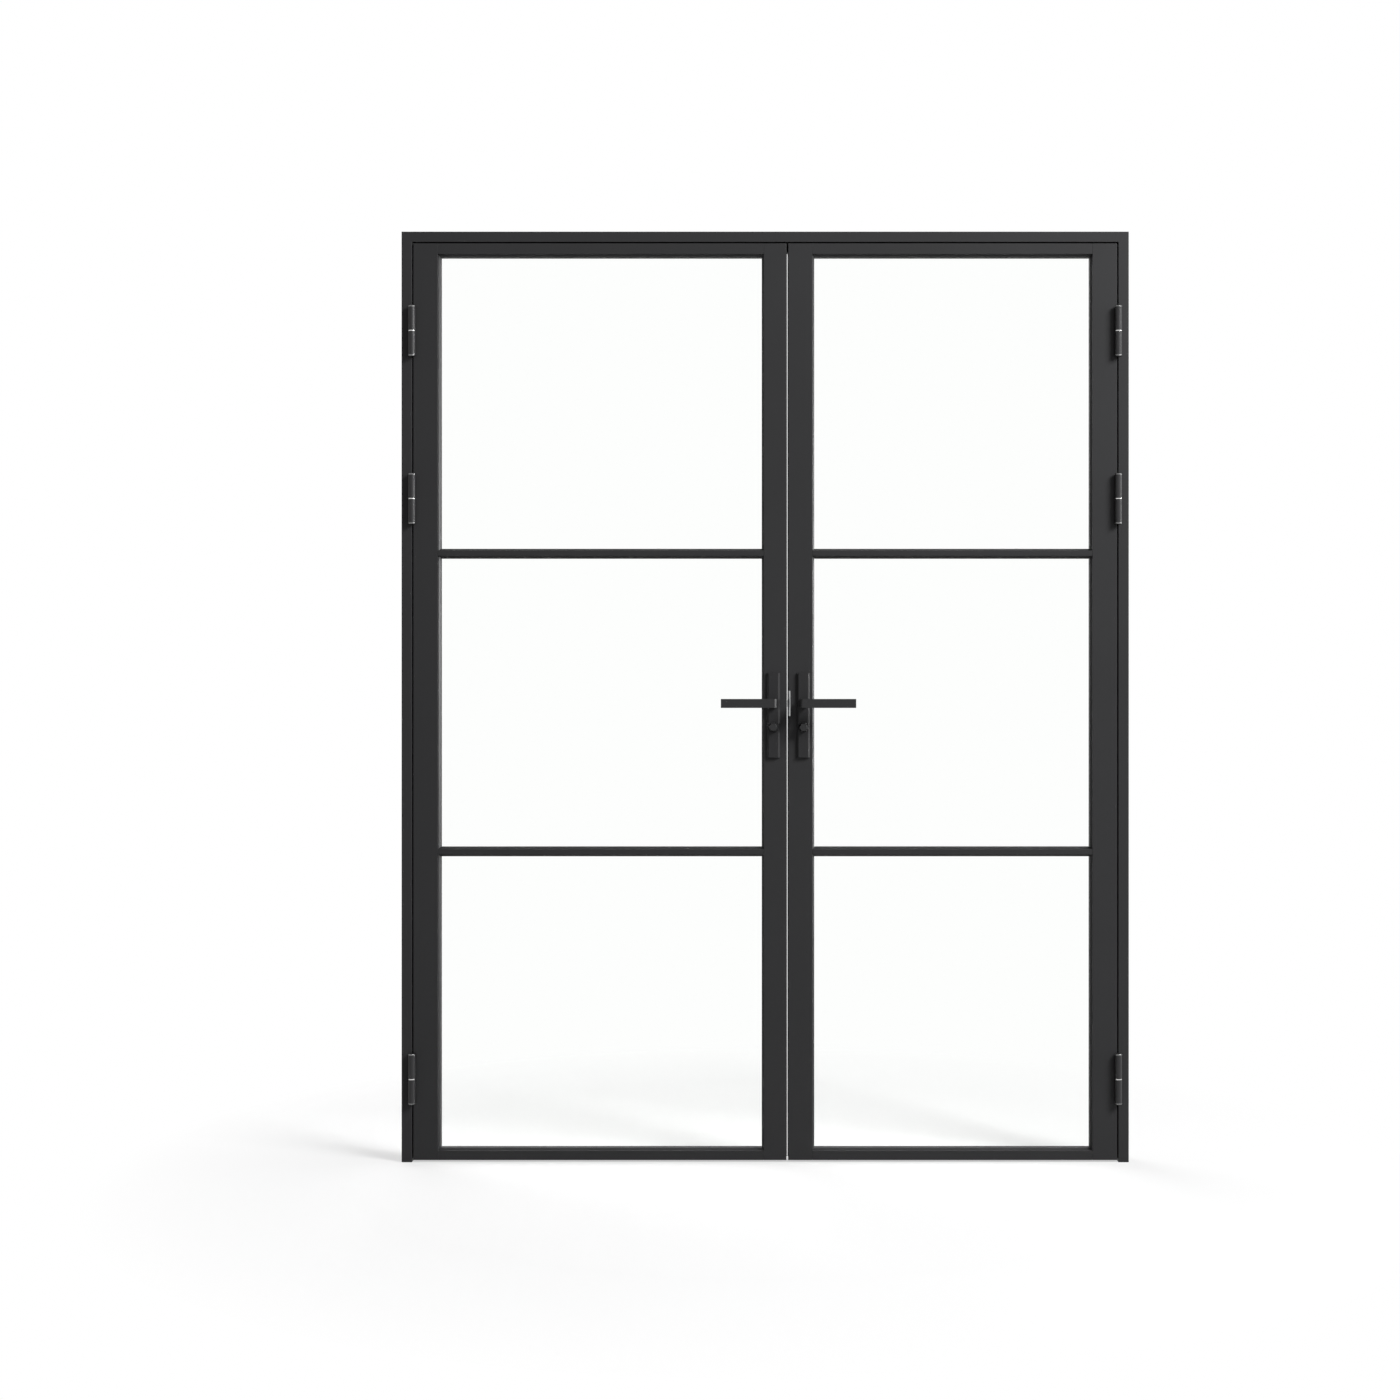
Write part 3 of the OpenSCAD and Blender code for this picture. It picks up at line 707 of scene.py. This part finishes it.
# Screws that stand almost flush, in the narrow gaps beside the hinges and between the leaves
FLAG_SCREW = Screw(head_h=0.15 * MM, recess_d=0.12 * MM)
EDGE_SCREW = Screw(head_h=0.25 * MM, recess_d=0.2 * MM)


@dataclass
class HingeTrim:
    """Collars with domed caps at both ends of every hinge barrel, and the screws of the flags.

    The hinge gap and the flag's thickness are those of the CAD model.
    """

    door: Door
    collar_h: float = 2.2 * MM
    collar_proud: float = 0.35 * MM
    dome_h: float = 2.5 * MM
    dome_steps: int = 6
    cap_ease: float = 0.4 * MM
    hinge_gap: float = 3.0 * MM
    flag_t: float = 2.4 * MM
    flag_screw_drop: tuple[float, float] = (14 * MM, 40 * MM)
    flag_screw_inset: float = 12 * MM

    def collar(self, radius: float) -> bmesh.types.BMesh:
        """Turn a collar with a domed cap, standing on Z = 0.

        Args:
            radius: the barrel's radius.

        Returns:
            The turned collar.
        """
        outer = radius + self.collar_proud
        ease = self.cap_ease
        angles = [math.radians(90 * i / self.dome_steps) for i in range(self.dome_steps)]
        dome = [(radius * math.cos(a), self.collar_h + self.dome_h * math.sin(a)) for a in angles]
        return lathe([(0.0, 0.0), (outer - ease, 0.0), (outer, ease),
                      (outer, self.collar_h - ease), (outer - ease, self.collar_h), *dome,
                      (0.0, self.collar_h + self.dome_h)])

    def build(self, side: Side, row: HingeRow) -> None:
        """Trim one hinge.

        Args:
            side: the leaf that hangs on it.
            row: which of the leaf's hinges it is.
        """
        stem = f"{side.word}_{row.value}_hinge"
        for half, up in (("leaf_half", 1), ("jamb_half", -1)):
            node = f"{stem}_{half}"
            low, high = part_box(node)
            radius = (high.x - low.x) / 2
            end = Vector(((low.x + high.x) / 2, low.y + radius, high.z if up > 0 else low.z))
            bm = self.collar(radius)
            turn = Matrix.Identity(4) if up > 0 else Matrix.Rotation(math.pi, 4, "X")
            bmesh.ops.transform(bm, matrix=Matrix.Translation(end) @ turn, verts=bm.verts)
            piece = finished_object(f"{stem}_{half}_collar", bm, self.door.finishes.burnished)
            self.door.add(piece, self.door.body_of[node], "bright_steel")
            self.flag_screws(node, side, up)

    def flag_screws(self, node: str, side: Side, up: int) -> None:
        """Set two screws into the flag of a hinge half.

        Args:
            node: the hinge half.
            side: the leaf that hangs on it.
            up: 1 for the leaf's half, which is above, and -1 for the jamb's.
        """
        low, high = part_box(node)
        stile_low, stile_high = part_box(f"{side.word}_hinge_stile")
        edge = stile_low.x if side is Side.LEFT else stile_high.x
        flag_face = self.flag_t if up > 0 else self.hinge_gap - self.flag_t
        out = Vector((side.value * up, 0, 0))
        base = high.z if up > 0 else low.z
        for i, drop in enumerate(self.flag_screw_drop):
            at = Vector((edge + side.value * flag_face, high.y - self.flag_screw_inset,
                         base - up * drop))
            FLAG_SCREW.place(self.door, f"{node}_screw_{i + 1}", at, out, self.door.body_of[node],
                             self.door.finishes.zinc, "bright_steel")

    def build_all(self) -> None:
        """Trim all the hinges."""
        for side in Side:
            for row in HingeRow:
                self.build(side, row)


@dataclass
class FurnitureScrews:
    """Screws of the back plates, the lock's forend and the strike plate."""

    door: Door
    plate_inset: float = 16 * MM
    edge_inset: float = 9 * MM

    def build_all(self) -> None:
        """Set every screw."""
        for side in Side:
            low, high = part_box(f"{side.word}_back_plate")
            for i, z in enumerate((low.z + self.plate_inset, high.z - self.plate_inset)):
                PLATE_SCREW.place(self.door, f"{side.word}_back_plate_screw_{i + 1}",
                                  Vector(((low.x + high.x) / 2, high.y, z)), Vector((0, 1, 0)),
                                  f"{side.word}_leaf", self.door.finishes.lacquer,
                                  "black_furniture")
        for node, sign in (("left_lock_case", 1), ("strike_plate", -1)):
            low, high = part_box(node)
            face_x = high.x if sign > 0 else low.x
            for i, z in enumerate((low.z + self.edge_inset, high.z - self.edge_inset)):
                EDGE_SCREW.place(self.door, f"{node}_screw_{i + 1}", Vector((face_x, 0, z)),
                                 Vector((sign, 0, 0)), self.door.body_of[node],
                                 self.door.finishes.zinc, "bright_steel")


@dataclass
class Studio:
    """A pale floor, a white background, three soft lights and the camera.

    The camera is given in pixels of the photograph, and the scale turns them into metres.
    """

    photo_px: float = 1400.0
    mm_per_px: float = 2.31
    object_column: float = 765.2
    floor_row: float = 1162.3
    eye_column: float = 775.0
    eye_row: float = 700.0
    eye_distance: float = 4.6
    sensor: float = 36.0
    floor_half: float = 60.0
    floor_colour: str = "9c9c9c"
    floor_lift: float = 0.55
    floor_fade: tuple[float, float] = (0.95, 1.5)
    key_at: tuple[float, float, float] = (4.2, -3.2, 4.5)
    key_size: float = 2.2
    key_power: float = 580.0
    fill_at: tuple[float, float, float] = (-2.6, 4.4, 3.4)
    fill_size: float = 4.0
    fill_power: float = 240.0
    side_from: tuple[float, float, float] = (3.0, -0.36, 0.0)
    side_power: float = 1.5
    side_spread_deg: float = 12.0
    ambient: float = 0.15
    background: str = "ffffff"

    def camera(self) -> None:
        """Set the camera level with the middle of the picture, as the photograph was taken."""
        data = bpy.data.cameras.new("camera")
        eye_x = (self.eye_column - self.object_column) * self.mm_per_px * MM
        eye_z = (self.floor_row - self.eye_row) * self.mm_per_px * MM
        centre_x = (self.photo_px / 2 - self.object_column) * self.mm_per_px * MM
        width = self.photo_px * self.mm_per_px * MM
        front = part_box("left_jamb")[0].y
        data.sensor_width = self.sensor
        data.lens = self.sensor * self.eye_distance / width
        data.shift_x = (centre_x - eye_x) / width
        made = bpy.data.objects.new("camera", data)
        made.location = (eye_x, front - self.eye_distance, eye_z)
        made.rotation_euler = (math.pi / 2, 0, 0)
        bpy.context.scene.collection.objects.link(made)
        bpy.context.scene.camera = made

    def lamps(self) -> None:
        """Hang a key light at the front right, a fill behind, and one that rakes from the right."""
        key = bpy.data.lights.new("key", "AREA")
        key.energy = self.key_power
        key.size = self.key_size
        fill = bpy.data.lights.new("fill", "AREA")
        fill.energy = self.fill_power
        fill.size = self.fill_size
        side = bpy.data.lights.new("side", "SUN")
        side.energy = self.side_power
        side.angle = math.radians(self.side_spread_deg)
        low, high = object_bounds()
        middle = (low + high) / 2
        for data, at, target in ((key, Vector(self.key_at), middle),
                                 (fill, Vector(self.fill_at), middle),
                                 (side, Vector(self.side_from), Vector())):
            made = bpy.data.objects.new(data.name, data)
            made.location = at
            made.rotation_euler = (target - at).to_track_quat("-Z", "Y").to_euler()
            # The panes would show a lamp that stands behind them
            made.visible_transmission = False
            bpy.context.scene.collection.objects.link(made)

    def seen(self, tree: bpy.types.NodeTree) -> bpy.types.NodeSocket:
        """Tell the rays that show a surface to the eye, straight or by way of metal or glass.

        Args:
            tree: the tree that asks.

        Returns:
            A socket that is 1 for such rays and 0 for those that carry light to a dull surface.
        """
        path = add_node(tree, "ShaderNodeLightPath")
        mirrored = add_node(tree, "ShaderNodeMath", {"operation": "MAXIMUM"},
                            {0: path.outputs["Is Glossy Ray"],
                             1: path.outputs["Is Transmission Ray"]})
        shown = add_node(tree, "ShaderNodeMath", {"operation": "MAXIMUM"},
                         {0: path.outputs["Is Camera Ray"], 1: mirrored.outputs[0]})
        straight = add_node(tree, "ShaderNodeMath", {"operation": "LESS_THAN", 1: NO_BOUNCE},
                            {0: path.outputs["Diffuse Depth"]})
        both = add_node(tree, "ShaderNodeMath", {"operation": "MULTIPLY"},
                        {0: shown.outputs[0], 1: straight.outputs[0]})
        return both.outputs[0]

    def world(self) -> None:
        """Light evenly from all round, and show white to the eye, to metal and to glass."""
        made = bpy.data.worlds.new("studio")
        tree = empty_tree(made)
        soft = add_node(tree, "ShaderNodeBackground",
                        {"Color": linear(self.background), "Strength": self.ambient})
        white = add_node(tree, "ShaderNodeBackground",
                         {"Color": linear(self.background), "Strength": 1.0})
        mixed = add_node(tree, "ShaderNodeMixShader", None,
                         {0: self.seen(tree), 1: soft.outputs[0], 2: white.outputs[0]})
        add_node(tree, "ShaderNodeOutputWorld", None, {"Surface": mixed.outputs[0]})
        bpy.context.scene.world = made

    def floor(self) -> None:
        """Lay the pale floor, which takes shadows near the door and turns white far off."""
        bm = bmesh.new()
        bmesh.ops.create_grid(bm, x_segments=1, y_segments=1, size=self.floor_half)
        made = bpy.data.materials.new("pale_floor")
        tree = empty_tree(made)
        seen = self.seen(tree)
        place = add_node(tree, "ShaderNodeTexCoord")
        away = add_node(tree, "ShaderNodeVectorMath", {"operation": "LENGTH"},
                        {0: place.outputs["Object"]})
        fade = add_node(tree, "ShaderNodeMapRange",
                        {"From Min": self.floor_fade[0], "From Max": self.floor_fade[1]},
                        {"Value": away.outputs["Value"]})
        far = add_node(tree, "ShaderNodeMath", {"operation": "MULTIPLY"},
                       {0: fade.outputs["Result"], 1: seen})
        lift = add_node(tree, "ShaderNodeMath", {"operation": "MULTIPLY", 1: self.floor_lift},
                        {0: seen})
        shade = add_node(tree, "ShaderNodeBsdfDiffuse", {"Color": linear(self.floor_colour)})
        glow = add_node(tree, "ShaderNodeEmission", None, {"Strength": lift.outputs[0]})
        near = add_node(tree, "ShaderNodeAddShader", None,
                        {0: shade.outputs[0], 1: glow.outputs[0]})
        white = add_node(tree, "ShaderNodeEmission", {"Strength": 1.0})
        mixed = add_node(tree, "ShaderNodeMixShader", None,
                         {0: far.outputs[0], 1: near.outputs[0], 2: white.outputs[0]})
        add_node(tree, "ShaderNodeOutputMaterial", None, {"Surface": mixed.outputs[0]})
        finished_object("floor", bm, made)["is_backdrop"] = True

    def build(self) -> None:
        """Set up the whole studio."""
        bpy.context.scene.view_settings.view_transform = "Standard"
        self.floor()
        self.lamps()
        self.world()
        self.camera()


def main() -> None:
    """Load the frame, dress the door and set up the studio."""
    logging.basicConfig(level=logging.INFO, format="%(name)s: %(message)s")
    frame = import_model()
    door = Door(frame, Finishes())
    Studio().build()
    SoftenedNodes(door).build_all()
    SplayedBeads(door).build_all()
    MeetingSeals(door).build_all()
    HingeTrim(door).build_all()
    FurnitureScrews(door).build_all()


if __name__ == "__main__":
    main()
